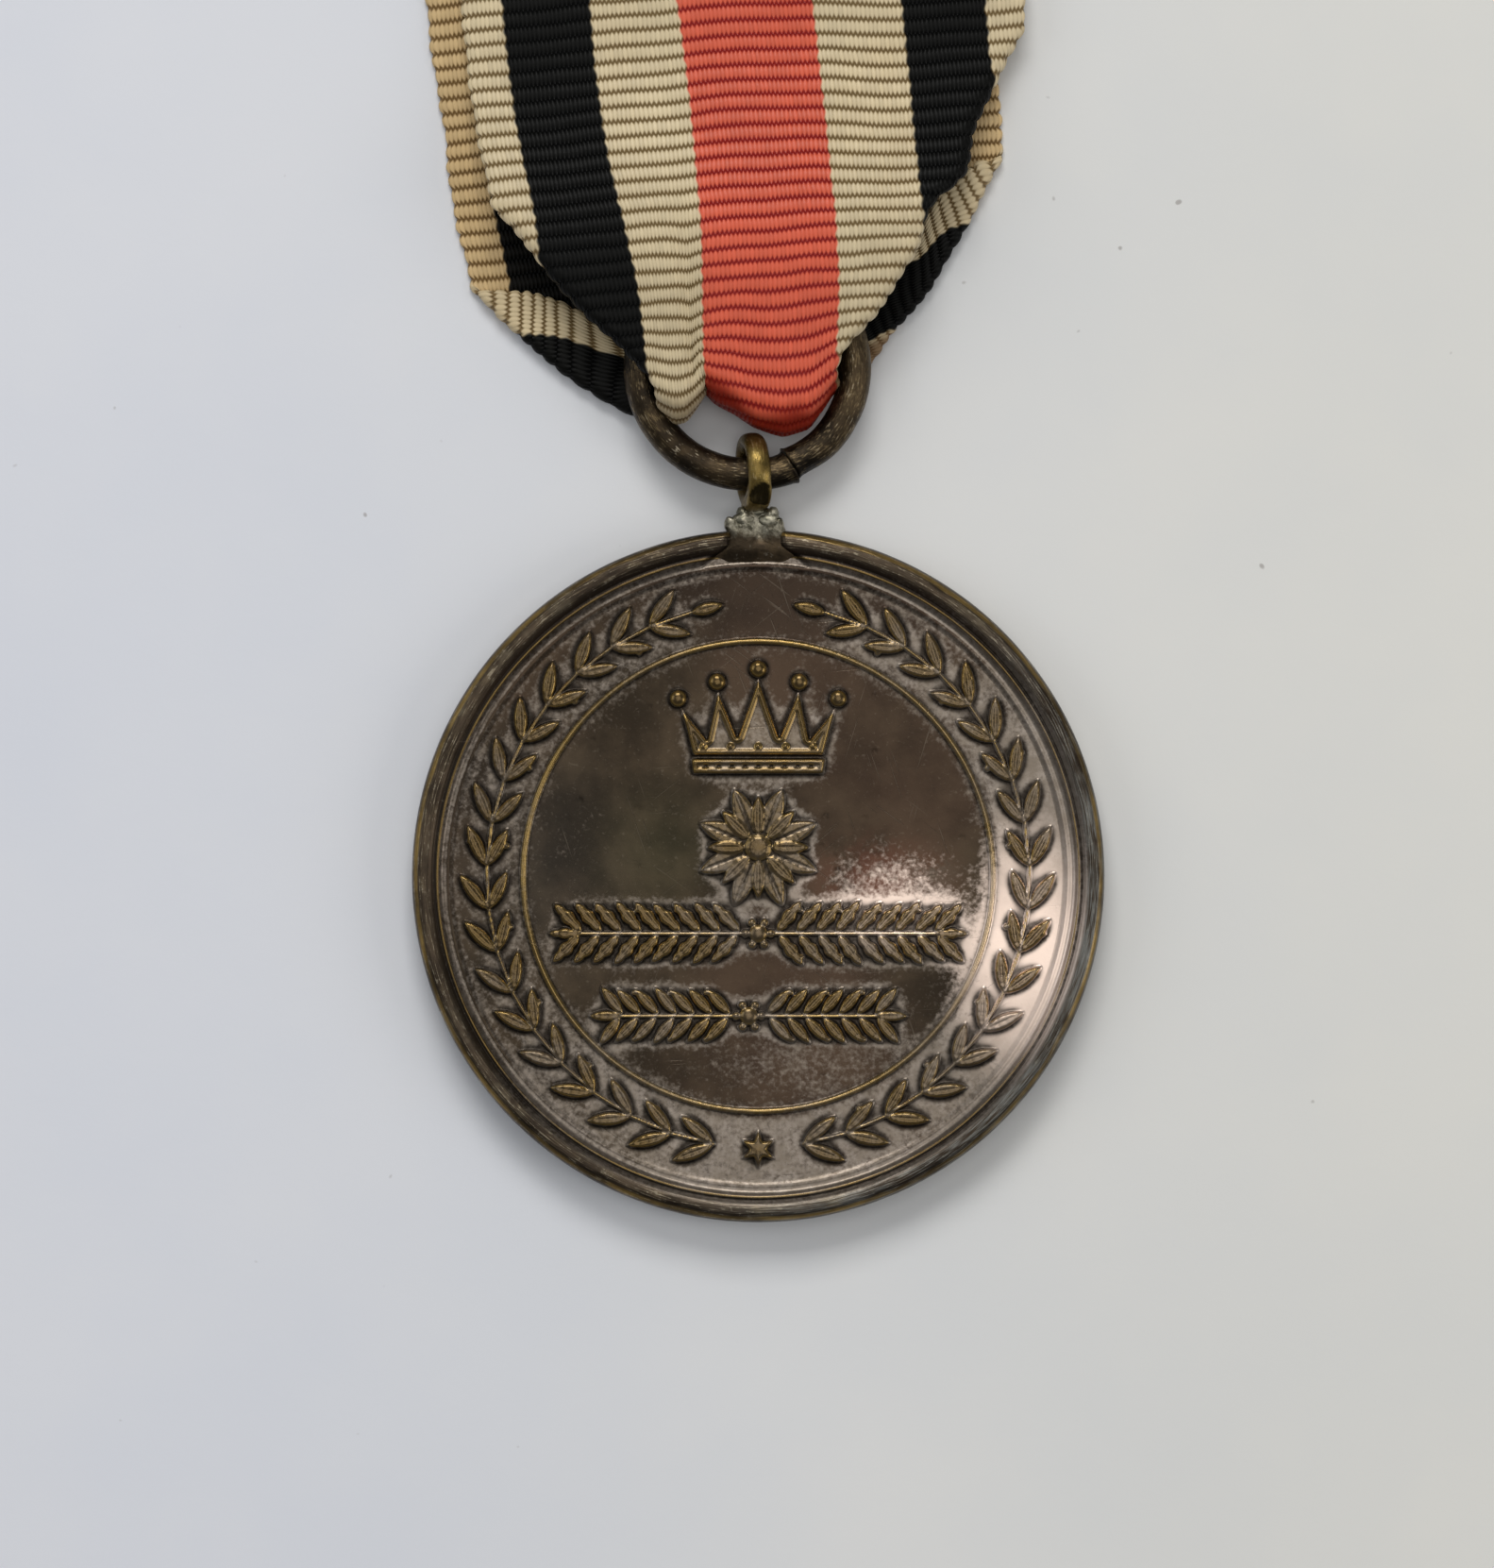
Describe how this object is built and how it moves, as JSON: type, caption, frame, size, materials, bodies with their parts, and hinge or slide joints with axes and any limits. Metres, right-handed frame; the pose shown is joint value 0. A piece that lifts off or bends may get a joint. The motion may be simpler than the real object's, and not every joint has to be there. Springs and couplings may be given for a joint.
{
  "type": "medal on a ribbon",
  "caption": "Round struck bronze medal with a soldered eye on a split ring, hanging from a folded striped grosgrain ribbon.",
  "frame": {"origin": "under the middle of the bounding box, on the surface that the medal lies on", "axes": "+Z out of the medal's face, +Y along the ribbon away from the disc, +X to the right seen from the face"},
  "size_m": [0.0303, 0.0716, 0.0033],
  "materials": {
    "struck_bronze": "dark patinated bronze, worn bright on the relief",
    "lug_brass": "worn brass",
    "eye_brass": "golden brass wire, scuffed",
    "tin_solder": "dull grey-green tin",
    "ring_bronze": "dark brown bronze wire with silvery scratches",
    "ribbon_cloth": "ribbed grosgrain, ivory, black and coral stripes"
  },
  "bodies": {
    "ribbon": {"ribbon_front_panel": "ribbon_cloth", "ribbon_rear_panel": "ribbon_cloth"},
    "ribbon_neck": {"ribbon_bight": "ribbon_cloth"},
    "ring": {"suspension_ring": "ring_bronze"},
    "medal": {"medal_disc": "struck_bronze", "suspension_lug": "lug_brass", "suspension_loop": "eye_brass", "solder_fillet": "tin_solder"}
  },
  "joints": [
    {"name": "ribbon_flex", "type": "hinge", "parent": "ribbon", "child": "ribbon_neck", "pos_m": [0.00082, 0.00856, 0.001], "axis": [0.9945, 0.1045, 0], "range_deg": [-60, 60]},
    {"name": "ring_turn", "type": "hinge", "parent": "ribbon_neck", "child": "ring", "pos_m": [0.0002, 0.00001, 0.00164], "axis": [0, 0, 1], "range_deg": [-24, 2]},
    {"name": "medal_swing", "type": "hinge", "parent": "ring", "child": "medal", "pos_m": [0.00051, -0.00447, 0.00164], "axis": [1, 0, 0], "range_deg": [-110, 95]}
  ]
}
